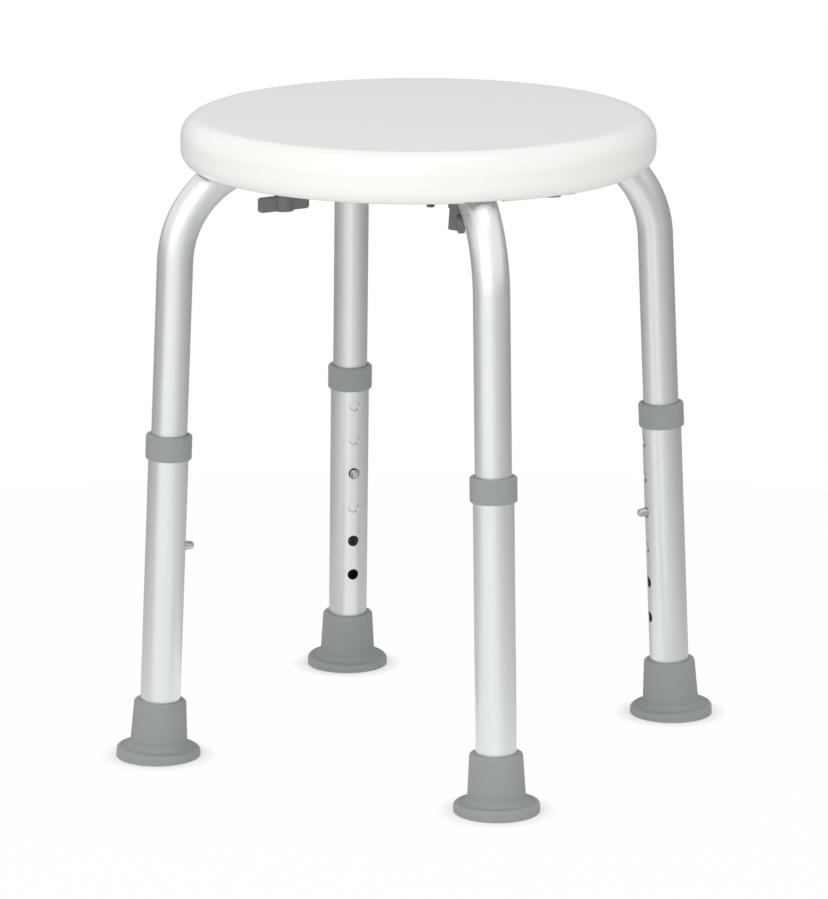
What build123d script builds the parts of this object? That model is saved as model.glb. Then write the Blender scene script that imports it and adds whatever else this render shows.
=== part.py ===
from build123d import *
import os
from math import cos, radians, sin, tan

# Round shower stool: a moulded seat on four splayed, telescopic aluminium legs.
# Millimetres, +Z up, origin on the floor below the middle of the seat.
# Each leg is drawn in an upright plane through the stool's middle: x is the radius, y the height.

# Seat moulding
seat_diameter = 330.0
seat_height = 447.0
seat_depth = 35.0
seat_plate = 4.5
seat_wall = 4.0
seat_bulge = 0.5
seat_top_round = 15.0
seat_rim_round = 12.0
seat_lip_reach = 14.0
seat_lip_round = 1.5
lip_slot_gap = 1.5
lip_slot_reach = 8.5

# Ribs under the seat
rib_thickness = 3.0
rib_depth = 9.0
ring_rib_radii = (124.0, 66.0)
channel_side_gap = 0.8
channel_past_stud = 22.0
pad_length = 22.0

# Legs: places and tubes
leg_azimuths = {"left": 180.0, "front": -90.0, "right": 0.0, "back": 90.0}
leg_outset = 6.18
splay_angle = 2.6
bend_radius = 72.0
run_above_rim = 9.0
run_inner_end = 15.5
upper_diameter = 25.0
upper_wall = 1.2
lower_wall = 1.2
slide_clearance = 0.3
seat_clearance = 0.3

# Height setting: a row of holes in the lower tube and a snap clip with a button in the upper one
lower_leg_length = 231.0
hole_count = 6
hole_pitch = 26.0
rest_hole = 3
first_hole_drop = 10.5
hole_clearance = 0.5
button_diameter = 7.0
button_reach = 6.1
button_dome = 2.6
button_clearance = 0.1
upper_past_button = 39.0

# Leaf of the snap clip
leaf_thickness = 0.8
leaf_width = 8.0
leaf_above_button = 7.0
leaf_straight = 12.0
leaf_bend_drop = 34.0
leaf_bend_radius = 3.0
leaf_wall_gap = 0.06

# Collar on the lower tube
collar_wall = 2.1
collar_height = 17.5
collar_lip = 3.0
collar_top_round = 1.7
collar_bottom_round = 1.3
press_gap = 0.05

# Rubber foot
foot_height = 40.5
foot_top_wall = 4.2
foot_base_wall = 6.2
foot_flange_width = 9.3
foot_flange_height = 6.5
foot_flange_round = 2.8
foot_lip_round = 2.4
foot_neck_round = 4.6
foot_floor = 8.0
foot_disc_thickness = 1.6
tread_rings = 3
tread_pitch = 7.0
tread_width = 2.6
tread_depth = 1.4

# Studs moulded into the seat, their saddle washers and their wing nuts
stud_diameter = 6.0
stud_hole_clearance = 0.4
stud_tail = {"inner": 7.3, "outer": -1.0}
stud_inner_radius = 30.0
stud_before_bend = 5.4
stud_head_flats = 10.0
stud_head_height = 3.6
stud_head_cover = 3.6
washer_diameter = 14.0
washer_thickness = {"inner": 2.0, "outer": 10.0}
nut_height = 14.5
nut_hub_diameter = 12.0
nut_hub_taper = 1.0
nut_seat_gap = 0.15
nut_bore_clearance = 0.06
wing_span = 39.0
wing_height = 10.5
wing_thickness = 5.0
wing_round = 2.2
wing_edge_round = 1.2
wing_turns = {
    "inner": {"left": 72.0, "front": 84.0, "right": 58.0, "back": 105.0},
    "outer": {"left": 15.0, "front": -10.0, "right": 12.0, "back": -24.0},
}

# Sizes worked out from the ones above
seat_radius = seat_diameter / 2
rim_height = seat_height - seat_depth
plate_underside = seat_height - seat_plate
run_height = rim_height + run_above_rim
upper_radius = upper_diameter / 2
upper_bore = upper_radius - upper_wall
lower_bore = upper_radius + slide_clearance
lower_radius = lower_bore + lower_wall
collar_radius = lower_radius + collar_wall
splay = radians(splay_angle)
corner_radius = seat_radius + leg_outset
foot_radius = corner_radius + run_height * tan(splay)
bend_start_radius = corner_radius + bend_radius * tan(splay) - bend_radius / cos(splay)
lower_tube_top = lower_leg_length - collar_lip
first_hole = lower_leg_length - collar_height - first_hole_drop
button_height = first_hole - (rest_hole - 1) * hole_pitch
holes_middle = first_hole - (hole_count - 1) * hole_pitch / 2
upper_end = button_height - upper_past_button
button_radius = button_diameter / 2
hole_radius = button_radius + hole_clearance
leaf_face = (upper_bore**2 - (leaf_width / 2) ** 2) ** 0.5 - leaf_wall_gap
leaf_line = leaf_face - leaf_thickness / 2
foot_bore = lower_radius + press_gap
lower_tube_foot = foot_floor + foot_disc_thickness
stud_radius = stud_diameter / 2
stud_circle = {"inner": stud_inner_radius, "outer": bend_start_radius - stud_before_bend}
stud_head_base = seat_height - stud_head_cover - stud_head_height
nut_top = {ring: run_height - upper_radius - washer_thickness[ring] - nut_seat_gap for ring in stud_circle}
nut_base = {ring: nut_top[ring] - nut_height for ring in stud_circle}
stud_tip = {ring: nut_base[ring] - stud_tail[ring] for ring in stud_circle}
channel_end = stud_circle["outer"] + channel_past_stud


def radial_plane(azimuth):
    """Upright plane through the stool's middle: x is the radius, y is the height."""
    angle = radians(azimuth)
    return Plane(origin=(0, 0, 0), x_dir=(cos(angle), sin(angle), 0), z_dir=(sin(angle), -cos(angle), 0))


def leg_plane(azimuth, reach):
    """Plane square to a leg, reach up from the floor: x points outwards, z up the leg."""
    upright = radial_plane(azimuth)
    origin = upright.from_local_coords((foot_radius - reach * sin(splay), reach * cos(splay)))
    outwards = upright.x_dir * cos(splay) + Vector(0, 0, sin(splay))
    upwards = upright.x_dir * -sin(splay) + Vector(0, 0, cos(splay))
    return Plane(origin=origin, x_dir=outwards, z_dir=upwards)


def leg_section(azimuth, reach):
    """Plane along a leg for profiles turned about it: x points outwards, y up the leg."""
    square = leg_plane(azimuth, reach)
    return Plane(origin=square.origin, x_dir=square.x_dir, z_dir=-square.y_dir)


def button_section(azimuth):
    """Plane along a leg at its button: x points inwards from the tube's middle, y up the leg."""
    square = leg_plane(azimuth, button_height)
    return Plane(origin=square.origin, x_dir=-square.x_dir, z_dir=square.y_dir)


def inward_plane(azimuth, reach):
    """Plane through the leg's middle that looks at the stool's axis: x runs up the leg."""
    square = leg_plane(azimuth, reach)
    return Plane(origin=square.origin, x_dir=square.z_dir, z_dir=-square.x_dir)


def stud_point(azimuth, ring, height):
    """Point on a stud's axis."""
    return radial_plane(azimuth).from_local_coords((stud_circle[ring], height))


def tube_along_leg(azimuth, outer, bore=0.0):
    """Round bar or tube along a leg's middle line, from its lower end to its end under the seat."""
    lower_end = (foot_radius - upper_end * sin(splay), upper_end * cos(splay))
    with BuildPart() as tube:
        with BuildLine(radial_plane(azimuth)) as middle_line:
            FilletPolyline(
                lower_end,
                (corner_radius, run_height),
                (run_inner_end, run_height),
                radius=bend_radius,
            )
        with BuildSketch(leg_plane(azimuth, upper_end)):
            Circle(outer)
            if bore:
                Circle(bore, mode=Mode.SUBTRACT)
        sweep(path=middle_line.line)
    return tube.part


def make_seat():
    """Shallow moulded dish with a rim curled inwards, and ribs, tube channels and stud bosses under its plate."""
    side = seat_radius - seat_bulge
    side_middle = seat_height - seat_depth / 2
    lip = side - seat_lip_reach
    lip_height = rim_height + seat_wall
    inner_side = side - seat_wall
    with BuildPart() as seat:
        with BuildSketch(Plane.XZ) as profile:
            with BuildLine():
                Line((0, seat_height), (side, seat_height))
                ThreePointArc((side, seat_height), (seat_radius, side_middle), (side, rim_height))
                Polyline((side, rim_height), (lip, rim_height), (lip, lip_height), (inner_side, lip_height))
                ThreePointArc(
                    (inner_side, lip_height),
                    (seat_radius - seat_wall, side_middle),
                    (inner_side, plate_underside),
                )
                Polyline((inner_side, plate_underside), (0, plate_underside), (0, seat_height))
            make_face()
            rounds = {
                (side, seat_height): seat_top_round,
                (side, rim_height): seat_rim_round,
                (lip, rim_height): seat_lip_round,
                (lip, lip_height): seat_lip_round,
                (inner_side, lip_height): seat_rim_round - seat_wall,
                (inner_side, plate_underside): seat_top_round - seat_wall,
            }
            for corner, round_radius in rounds.items():
                fillet(profile.vertices().sort_by_distance(corner)[0], radius=round_radius)
        revolve(axis=Axis.Z)

        with BuildSketch(Plane.XY.offset(plate_underside)):
            for ring_radius in ring_rib_radii:
                Circle(ring_radius + rib_thickness / 2)
                Circle(ring_radius - rib_thickness / 2, mode=Mode.SUBTRACT)
        extrude(amount=-rib_depth)
        with BuildSketch(Plane.XY.offset(plate_underside)):
            with PolarLocations(0, 2, start_angle=45, angular_range=180):
                Rectangle(2 * (seat_radius - seat_wall), rib_thickness)
        extrude(amount=-rib_depth)

        channel_line = upper_radius + channel_side_gap + rib_thickness / 2
        with BuildSketch(Plane.XY.offset(plate_underside)):
            with GridLocations(0, 2 * channel_line, 1, 2):
                Rectangle(2 * channel_end, rib_thickness)
            with GridLocations(2 * channel_line, 0, 2, 1):
                Rectangle(rib_thickness, 2 * channel_end)
            for circle_radius in stud_circle.values():
                with PolarLocations(circle_radius, len(leg_azimuths)):
                    Rectangle(pad_length, 2 * channel_line)
        extrude(amount=run_height - plate_underside)

        with BuildSketch(Plane.XY.offset(rim_height)):
            with PolarLocations(lip, len(leg_azimuths)):
                Rectangle(2 * lip_slot_reach, 2 * (upper_radius + lip_slot_gap))
        extrude(amount=seat_rim_round, mode=Mode.SUBTRACT)
        for azimuth in leg_azimuths.values():
            add(tube_along_leg(azimuth, upper_radius + seat_clearance), mode=Mode.SUBTRACT)
        add(make_studs(press_gap), mode=Mode.SUBTRACT)
    return seat.part


def make_studs(growth=0.0):
    """Hexagon-headed studs that hang from the seat; growth makes their pockets."""
    with BuildPart() as studs:
        for ring, circle_radius in stud_circle.items():
            with BuildSketch(Plane.XY.offset(stud_tip[ring])):
                with PolarLocations(circle_radius, len(leg_azimuths)):
                    Circle(stud_radius + growth)
            extrude(amount=stud_head_base - stud_tip[ring] + growth)
        with BuildSketch(Plane.XY.offset(stud_head_base - growth)):
            for circle_radius in stud_circle.values():
                with PolarLocations(circle_radius, len(leg_azimuths)):
                    RegularPolygon(stud_head_flats / 2 + growth, 6, major_radius=False)
        extrude(amount=stud_head_height + 2 * growth)
    return studs.part


def make_saddle_washers():
    """Washers with a hollow top that fits the underside of the tubes."""
    with BuildPart() as washers:
        for ring, circle_radius in stud_circle.items():
            with BuildSketch(Plane.XY.offset(nut_top[ring] + nut_seat_gap)):
                with PolarLocations(circle_radius, len(leg_azimuths)):
                    Circle(washer_diameter / 2)
                    Circle(stud_radius + stud_hole_clearance, mode=Mode.SUBTRACT)
            extrude(amount=washer_thickness[ring] + upper_radius - seat_clearance)
        with BuildSketch(Plane.XY.offset(run_height - upper_radius / 2)):
            Circle(seat_radius)
        extrude(amount=upper_radius, mode=Mode.SUBTRACT)
        for azimuth in leg_azimuths.values():
            add(tube_along_leg(azimuth, upper_radius + press_gap), mode=Mode.SUBTRACT)
    return washers.part


def make_wing_nut(azimuth, ring, turn):
    """Hand nut: a tapered hub that bears on the washer, with two wings at its lower end."""
    base = Plane(
        origin=stud_point(azimuth, ring, nut_base[ring]),
        x_dir=radial_plane(azimuth + turn).x_dir,
        z_dir=(0, 0, 1),
    )
    hub_radius = nut_hub_diameter / 2
    upright = Plane(origin=base.origin, x_dir=base.x_dir, z_dir=-base.y_dir)
    with BuildPart() as nut:
        with BuildSketch(upright.offset(-wing_thickness / 2)):
            with Locations((0, wing_height / 2)):
                RectangleRounded(wing_span, wing_height, wing_round)
        extrude(amount=wing_thickness)
        broad_sides = nut.faces().filter_by(Axis(upright.origin, upright.z_dir))
        fillet(broad_sides.edges(), radius=wing_edge_round)
        with BuildSketch(base):
            Circle(hub_radius + nut_hub_taper)
        with BuildSketch(base.offset(nut_height)):
            Circle(hub_radius)
        loft()
        with BuildSketch(base):
            Circle(stud_radius + nut_bore_clearance)
        extrude(amount=nut_height, mode=Mode.SUBTRACT)
    return nut.part


def make_upper_tube(azimuth):
    """Thin leg tube, bent in under the seat, drilled for its studs and its button."""
    with BuildPart() as tube:
        add(tube_along_leg(azimuth, upper_radius, upper_bore))
        for ring in stud_circle:
            with BuildSketch(Plane.XY.offset(run_height - upper_diameter)):
                with Locations(stud_point(azimuth, ring, 0)):
                    Circle(stud_radius + stud_hole_clearance)
            extrude(amount=2 * upper_diameter, mode=Mode.SUBTRACT)
        with BuildSketch(inward_plane(azimuth, button_height)):
            Circle(button_radius + button_clearance)
        extrude(amount=upper_diameter, mode=Mode.SUBTRACT)
    return tube.part


def make_lower_tube(azimuth):
    """Wide leg tube with a row of height holes on the side that faces the stool's axis."""
    with BuildPart() as tube:
        with BuildSketch(leg_plane(azimuth, lower_tube_foot)):
            Circle(lower_radius)
            Circle(lower_bore, mode=Mode.SUBTRACT)
        extrude(amount=lower_tube_top - lower_tube_foot)
        with BuildSketch(inward_plane(azimuth, holes_middle)):
            with GridLocations(hole_pitch, 0, hole_count, 1):
                Circle(hole_radius)
        extrude(amount=2 * lower_radius, mode=Mode.SUBTRACT)
    return tube.part


def make_collar(azimuth):
    """Plastic collar pressed over the top of the lower tube; its lip guides the upper tube."""
    section = leg_section(azimuth, lower_leg_length)
    tube_face = lower_radius + press_gap
    with BuildPart() as collar:
        with BuildSketch(section) as profile:
            with BuildLine():
                Polyline(
                    (lower_bore, 0),
                    (collar_radius, 0),
                    (collar_radius, -collar_height),
                    (tube_face, -collar_height),
                    (tube_face, -collar_lip),
                    (lower_bore, -collar_lip),
                    close=True,
                )
            make_face()
            rounds = {
                (collar_radius, 0): collar_top_round,
                (collar_radius, -collar_height): collar_bottom_round,
            }
            for corner, round_radius in rounds.items():
                fillet(profile.vertices().sort_by_distance(corner)[0], radius=round_radius)
        revolve(axis=Axis(section.origin, section.y_dir))
    return collar.part


def make_foot(azimuth):
    """Rubber foot: a tapered socket on a round flange, cut flat where it stands on the floor."""
    section = leg_section(azimuth, 0)
    neck_radius = lower_radius + foot_base_wall
    flange_radius = neck_radius + foot_flange_width
    lip_radius = lower_radius + foot_top_wall
    below_floor = -flange_radius * tan(splay)
    with BuildPart() as foot:
        with BuildSketch(section) as profile:
            with BuildLine():
                Polyline(
                    (0, below_floor),
                    (flange_radius, below_floor),
                    (flange_radius, foot_flange_height),
                    (neck_radius, foot_flange_height),
                    (lip_radius, foot_height),
                    (foot_bore, foot_height),
                    (foot_bore, foot_floor),
                    (0, foot_floor),
                    close=True,
                )
            make_face()
            rounds = {
                (flange_radius, foot_flange_height): foot_flange_round,
                (neck_radius, foot_flange_height): foot_neck_round,
                (lip_radius, foot_height): foot_lip_round,
            }
            for corner, round_radius in rounds.items():
                fillet(profile.vertices().sort_by_distance(corner)[0], radius=round_radius)
        revolve(axis=Axis(section.origin, section.y_dir))
        split(bisect_by=Plane.XY, keep=Keep.TOP)
        with BuildSketch(Plane(origin=section.origin)):
            for ring in range(tread_rings, 0, -1):
                Circle(ring * tread_pitch + tread_width / 2)
                Circle(ring * tread_pitch - tread_width / 2, mode=Mode.SUBTRACT)
        extrude(amount=tread_depth, mode=Mode.SUBTRACT)
    return foot.part


def make_foot_disc(azimuth):
    """Steel disc in the bottom of the socket, which keeps the tube from cutting through the foot."""
    with BuildPart() as disc:
        with BuildSketch(leg_plane(azimuth, foot_floor)):
            Circle(lower_radius)
        extrude(amount=foot_disc_thickness)
    return disc.part


def make_snap_clip(azimuth):
    """Hairpin leaf inside the upper tube; its round-nosed button stands through both tubes."""
    section = button_section(azimuth)
    nose = lower_radius + button_reach
    with BuildPart() as clip:
        with BuildSketch(section):
            with BuildLine():
                FilletPolyline(
                    (leaf_line, leaf_above_button),
                    (leaf_line, -leaf_straight),
                    (0, -leaf_bend_drop),
                    (-leaf_line, leaf_above_button),
                    radius=leaf_bend_radius,
                )
            trace(line_width=leaf_thickness)
        extrude(amount=leaf_width / 2, both=True)
        with BuildSketch(section) as profile:
            with BuildLine():
                Polyline(
                    (leaf_line, 0),
                    (leaf_line, button_radius),
                    (nose, button_radius),
                    (nose, 0),
                    close=True,
                )
            make_face()
            fillet(profile.vertices().sort_by_distance((nose, button_radius))[0], radius=button_dome)
        revolve(axis=Axis(section.origin, section.x_dir))
    return clip.part


def save(piece, name):
    """Label a finished piece and write it as its own file."""
    piece.label = name
    export_step(piece, f"parts/{name}.step")


os.makedirs("parts", exist_ok=True)
save(make_seat(), "seat")
save(make_studs(), "seat_studs")
save(make_saddle_washers(), "saddle_washers")
for side, azimuth in leg_azimuths.items():
    save(make_upper_tube(azimuth), f"upper_leg_tube_{side}")
    save(make_lower_tube(azimuth), f"lower_leg_tube_{side}")
    save(make_collar(azimuth), f"collar_{side}")
    save(make_foot(azimuth), f"foot_{side}")
    save(make_foot_disc(azimuth), f"foot_disc_{side}")
    save(make_snap_clip(azimuth), f"snap_clip_{side}")
    for ring in stud_circle:
        save(make_wing_nut(azimuth, ring, wing_turns[ring][side]), f"wing_nut_{side}_{ring}")
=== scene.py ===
from math import atan2, ceil, cos, pi, radians, sin, sqrt, tan

import bmesh
import bpy
import numpy as np
from bpy.props import FloatProperty, FloatVectorProperty, IntProperty, PointerProperty
from mathutils import Matrix, Vector


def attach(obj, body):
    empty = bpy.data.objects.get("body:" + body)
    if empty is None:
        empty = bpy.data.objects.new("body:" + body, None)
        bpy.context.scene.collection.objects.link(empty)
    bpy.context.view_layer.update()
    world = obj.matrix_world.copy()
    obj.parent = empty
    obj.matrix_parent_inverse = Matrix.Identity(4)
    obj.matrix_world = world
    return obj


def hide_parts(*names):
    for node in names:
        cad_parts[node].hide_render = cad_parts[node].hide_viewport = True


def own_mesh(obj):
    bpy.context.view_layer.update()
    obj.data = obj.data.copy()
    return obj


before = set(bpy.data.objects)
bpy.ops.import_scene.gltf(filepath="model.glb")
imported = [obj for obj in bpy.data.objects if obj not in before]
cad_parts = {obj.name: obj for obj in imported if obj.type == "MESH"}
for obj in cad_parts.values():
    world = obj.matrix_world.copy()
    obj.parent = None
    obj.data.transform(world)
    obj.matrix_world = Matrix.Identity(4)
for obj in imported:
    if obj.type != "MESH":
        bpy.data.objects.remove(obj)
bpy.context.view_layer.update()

bl_info = {
    "name": "Round shower stool",
    "version": (1, 0, 0),
    "blender": (4, 5, 0),
    "location": "View3D > Sidebar > Stool",
    "description": "Dresses the packed model of a round shower stool with telescopic legs",
    "category": "Object",
}

# Lengths are metres. A leg's own frame has x outwards and z up the leg, from its point on the floor.
LEG_AZIMUTHS = {"left": 180.0, "front": -90.0, "right": 0.0, "back": 90.0}
STUD_RINGS = ("inner", "outer")
FOOT_RADIUS = 0.190297
SEAT_RADIUS = 0.165
CORNER_OUTSET = 0.00618
RUN_HEIGHT = 0.421
RUN_INNER_END = 0.0155
UPPER_END = 0.112
LOWER_START = 0.0096
LOWER_TOP = 0.228
BUTTON_HEIGHT = 0.151
FIRST_HOLE = 0.203
BUTTON_NOSE = 0.0201
BUTTON_CLEARANCE = 0.0001
STUD_HOLE_RADIUS = 0.0034
STUD_CIRCLES = {"inner": 0.030, "outer": 0.096975}
STUD_TIPS = {"inner": 0.38665, "outer": 0.38485}
STUD_TIP_TAPER = 1 / 1200
STUD_HEAD_BASE = 0.4398
STUD_HEAD_HEIGHT = 0.0036
STUD_HEAD_RADIUS = 0.00575
THREAD_ROWS = 6

# The hairpin leaf, with heights from the button's middle
LEAF_LINE = 0.010107
LEAF_THICKNESS = 0.0008
LEAF_WIDTH = 0.008
LEAF_TOP = 0.007
LEAF_STRAIGHT_END = -0.012
LEAF_BEND_LOW = -0.0335
LEAF_BEND_RADIUS = 0.0022
LEAF_BEND_STEPS = 12

# Cutters of the tubes. A hole's rounded edge is a row of steps out and down, in widths of the edge.
BEND_POINTS = 48
BORE_OVERRUN = 0.004
DRILL_SEGMENTS = 32
STUD_DRILL_REACH = 0.02
BUTTON_DRILL_START = 0.004
BUTTON_DRILL_END = 0.02
HOLE_DRILL_START = 0.4
HOLE_DRILL_OVERRUN = 0.004
HOLE_EDGE_STEPS = ((0.0, -1.0), (0.12, -0.45), (0.45, -0.12), (1.0, 0.0), (2.0, 0.25))

# The camera, in the stool's frame
CAMERA_PLACE = (-0.96895, -3.33156, 1.0405)
CAMERA_HEADING = -16.2166
CAMERA_YAW = -0.0509
CAMERA_PITCH = 13.4994
CAMERA_LENS = 203.04
SENSOR_WIDTH = 36.0

# Each lamp's place, right, nearer and up from the stool as the camera stands, and its size
LAMPS = {
    "front_lamp": ((-1.1, 2.2, 1.35), (2.6, 2.2)),
    "fill_lamp": ((0.0, 2.5, 1.2), (2.4, 2.2)),
    "top_lamp": ((0.0, 0.3, 2.4), (1.5, 1.5)),
}
LAMP_TARGET = (0.0, 0.0, 0.25)

# The floor fades to white by the distance from the nearest foot's middle, and from the stool's middle
FLOOR_HEIGHT = -0.0002
FLOOR_SEGMENTS = 96
SHADOW_FADE = (0.031, 0.042)
SHADOW_WHITE = (0.45, 0.975)
FLOOR_FADE = (0.3, 0.8)

# The screen: headings of its open side and of its palest part, and the opening's width, in degrees
SCREEN_FRONT = -132.0
SCREEN_PALEST = -116.0
SCREEN_OPENING = 66.0
# Its section as radius and height, and how far the wall rises at the back
SCREEN_BOWL = ((0.13, 0.0008), (0.5, 0.03), (0.75, 0.18))
SCREEN_WALL = (0.85, 0.42)
SCREEN_WALL_RISE = 0.55
# Its glow from the back to the front: what is added to the back's, and the whole of the palest
SCREEN_STOPS = ((0.0, 0.0), (0.30, 0.04), (0.60, 0.16), (0.80, 0.24), (0.90, 0.34))
SCREEN_PALEST_STOP = (0.98, 0.94)
# More glow near the stool and at the top of the wall: the values, and where they are reached
SCREEN_NEAR_GLOW = (0.22, -0.05)
SCREEN_NEAR_RADII = (0.30, 0.72)
SCREEN_TOP_GLOW = (0.0, 0.16)
SCREEN_TOP_HEIGHTS = (0.42, 0.6)


def length_property(name, description, default):
    """A setting in metres."""
    return FloatProperty(name=name, description=description, default=default, unit="LENGTH")


def power_property(name, description, default):
    """A lamp's power in watts."""
    return FloatProperty(name=name, description=description, default=default, unit="POWER")


def colour_property(name, description, default):
    """A colour, in linear light."""
    return FloatVectorProperty(
        name=name, description=description, default=default, subtype="COLOR", min=0.0, max=1.0
    )


class StoolTubes(bpy.types.PropertyGroup):
    """Sizes of the leg tubes and of what is drilled in them"""

    upper_radius: length_property("Upper tube radius", "Outer radius of the thin tube", 0.0125)
    upper_bore: length_property("Upper tube bore", "Inner radius of the thin tube", 0.0113)
    lower_radius: length_property("Lower tube radius", "Outer radius of the wide tube", 0.0140)
    lower_bore: length_property("Lower tube bore", "Inner radius of the wide tube", 0.0128)
    splay: FloatProperty(
        name="Splay",
        description="Lean of each leg from upright",
        default=radians(2.6),
        subtype="ANGLE",
    )
    bend_radius: length_property("Bend radius", "Radius of the upper tube's bend, at its middle line", 0.072)
    hole_radius: length_property(
        "Height hole radius", "Radius of the holes that the button snaps into", 0.0040
    )
    hole_edge: length_property("Height hole edge", "Width of the rounded edge of each hole", 0.0004)
    hole_pitch: length_property("Height hole pitch", "Distance from hole to hole", 0.026)
    hole_count: IntProperty(
        name="Height holes",
        description="Number of holes in each wide tube",
        default=6,
        min=1,
    )
    ring_step: length_property("Ring step", "Distance between the rings of points along a tube", 0.003)
    segments: IntProperty(
        name="Segments",
        description="Points around a tube",
        default=96,
        min=12,
    )


class StoolHardware(bpy.types.PropertyGroup):
    """Sizes of the buttons, leaves and studs"""

    button_radius: length_property("Button radius", "Radius of the snap button", 0.0035)
    button_taper: length_property(
        "Button taper", "Loss of radius from the tube to the button's nose", 0.0008
    )
    button_dome: length_property("Button rounding", "Rounding of the button's nose", 0.0017)
    stud_radius: length_property("Stud radius", "Radius over the stud's thread", 0.0030)
    thread_pitch: length_property("Thread pitch", "Rise of the thread in one turn", 0.0010)
    thread_depth: length_property("Thread depth", "Depth of the thread's groove", 0.0005)


class StoolFinishes(bpy.types.PropertyGroup):
    """Colours of the stool's materials"""

    seat_colour: colour_property("Seat", "White moulded plastic of the seat", (0.825, 0.825, 0.815))
    tube_colour: colour_property("Tubes", "Satin anodised aluminium of the tubes", (0.775, 0.795, 0.805))
    collar_colour: colour_property("Collars", "Grey plastic of the collars", (0.295, 0.315, 0.315))
    foot_colour: colour_property("Feet", "Grey rubber of the feet", (0.30, 0.32, 0.32))
    # Painted shade: the wing nuts' and washers' grey plastic is darkened past its own tone to stand in for
    # the seat's shade over them
    nut_colour_painted_shade: colour_property(
        "Wing nuts", "Darker grey plastic of the wing nuts and washers", (0.17, 0.17, 0.17)
    )
    button_colour: colour_property(
        "Buttons", "Nickel-plated spring steel of the snap clips", (0.50, 0.505, 0.47)
    )
    stud_colour: colour_property("Studs", "Blackened steel of the studs and foot discs", (0.17, 0.17, 0.17))


class StoolStage(bpy.types.PropertyGroup):
    """Floor and lamps"""

    floor_colour: colour_property("Floor", "Colour of the floor", (0.93, 0.93, 0.92))
    floor_radius: length_property("Floor radius", "Radius of the round floor", 9.0)
    front_power: power_property(
        "Front lamp", "Power of the large soft lamp in front, which the metal shows", 12.6
    )
    fill_power: power_property("Fill lamp", "Power of the lamp in front that lights the matt surfaces", 10.5)
    top_power: power_property("Top lamp", "Power of the lamp above the seat", 7.0)
    ambient: FloatProperty(
        name="Room light",
        description="Strength of the even light from all round",
        default=0.70,
        min=0.0,
    )
    screen_side: FloatProperty(
        name="Screen",
        description="Brightness of the grey screen round the stool, at its back",
        default=0.40,
        min=0.0,
        max=1.0,
    )


def settings(group):
    """The settings of that name on the scene."""
    return getattr(bpy.context.scene, group)


def leg_frame(side):
    """Matrix from a leg's own frame to the stool's."""
    azimuth = radians(LEG_AZIMUTHS[side])
    splay = settings("stool_tubes").splay
    outwards = Vector((cos(azimuth), sin(azimuth), 0.0))
    upright = Vector((0.0, 0.0, 1.0))
    x_axis = outwards * cos(splay) + upright * sin(splay)
    z_axis = upright * cos(splay) - outwards * sin(splay)
    y_axis = z_axis.cross(x_axis)
    turn = Matrix((x_axis, y_axis, z_axis)).transposed().to_4x4()
    return Matrix.Translation(outwards * FOOT_RADIUS) @ turn


def radial_frame(side):
    """Matrix from the upright plane of a leg to the stool's frame: x is the radius, z the height."""
    return Matrix.Rotation(radians(LEG_AZIMUTHS[side]), 4, "Z")


def mesh_object(name, mesh):
    """A new object in the scene, at the origin."""
    made = bpy.data.objects.new(name, mesh)
    bpy.context.scene.collection.objects.link(made)
    return made


def mesh_from_bmesh(name, work):
    """A plain mesh with its doubles merged and its faces turned outwards."""
    bmesh.ops.remove_doubles(work, verts=work.verts, dist=1e-7)
    bmesh.ops.recalc_face_normals(work, faces=work.faces)
    mesh = bpy.data.meshes.new(name)
    work.to_mesh(mesh)
    work.free()
    return mesh


def smooth_by_angle(mesh, angle=radians(35)):
    """Smooth shading, with sharp edges where two faces meet at more than the angle."""
    mesh.shade_smooth()
    mesh.set_sharp_from_angle(angle=angle)


def turned_mesh(work, profile, place, segments):
    """Adds a profile of (radius, height) points turned about the z axis of the given frame."""
    rings = []
    for radius, height in profile:
        if radius < 1e-9:
            rings.append([work.verts.new(place @ Vector((0.0, 0.0, height)))])
            continue
        ring = []
        for step in range(segments):
            angle = 2 * pi * step / segments
            ring.append(work.verts.new(place @ Vector((radius * cos(angle), radius * sin(angle), height))))
        rings.append(ring)
    for low, high in zip(rings, rings[1:]):
        for step in range(segments):
            after = (step + 1) % segments
            corners = [low[step % len(low)], low[after % len(low)]]
            corners += [high[after % len(high)], high[step % len(high)]]
            distinct = []
            for corner in corners:
                if corner not in distinct:
                    distinct.append(corner)
            if len(distinct) > 2:
                work.faces.new(distinct)


def finish_piece(piece, body, slot, *nodes):
    """The piece rides on the body and stands for the CAD nodes, which it hides. The slot is not used."""
    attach(piece, body)
    if nodes:
        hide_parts(*nodes)


def dress_node(name, material):
    """Gives a CAD node its material."""
    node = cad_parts[name]
    if not node.material_slots:
        raise RuntimeError(f"{name} has no material slot")
    for slot in node.material_slots:
        slot.material = material


# Node trees: helpers


def join_nodes(tree, source, target):
    """Links two sockets, source first."""
    tree.links.new(source, target)


def add_node(tree, kind, inputs=None, **values):
    """A node with its properties set, and its inputs set or linked."""
    node = tree.nodes.new(kind)
    for key, value in values.items():
        setattr(node, key, value)
    for key, value in (inputs or {}).items():
        socket = node.inputs[key]
        if isinstance(value, bpy.types.NodeSocket):
            join_nodes(tree, value, socket)
        else:
            socket.default_value = value
    return node


def maths(tree, operation, first, second=0.0):
    """A Math node's result."""
    return add_node(tree, "ShaderNodeMath", {0: first, 1: second}, operation=operation).outputs[0]


def make_tree(name, sockets):
    """A geometry tree with a mesh going in and out; returns it, its inputs and their identifiers."""
    tree = bpy.data.node_groups.new(name, "GeometryNodeTree")
    tree.is_modifier = True
    identifiers = {}
    tree.interface.new_socket("Geometry", in_out="OUTPUT", socket_type="NodeSocketGeometry")
    tree.interface.new_socket("Geometry", in_out="INPUT", socket_type="NodeSocketGeometry")
    for label, kind in sockets:
        made = tree.interface.new_socket(label, in_out="INPUT", socket_type="NodeSocket" + kind)
        identifiers[label] = made.identifier
    return tree, tree.nodes.new("NodeGroupInput").outputs, identifiers


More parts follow.
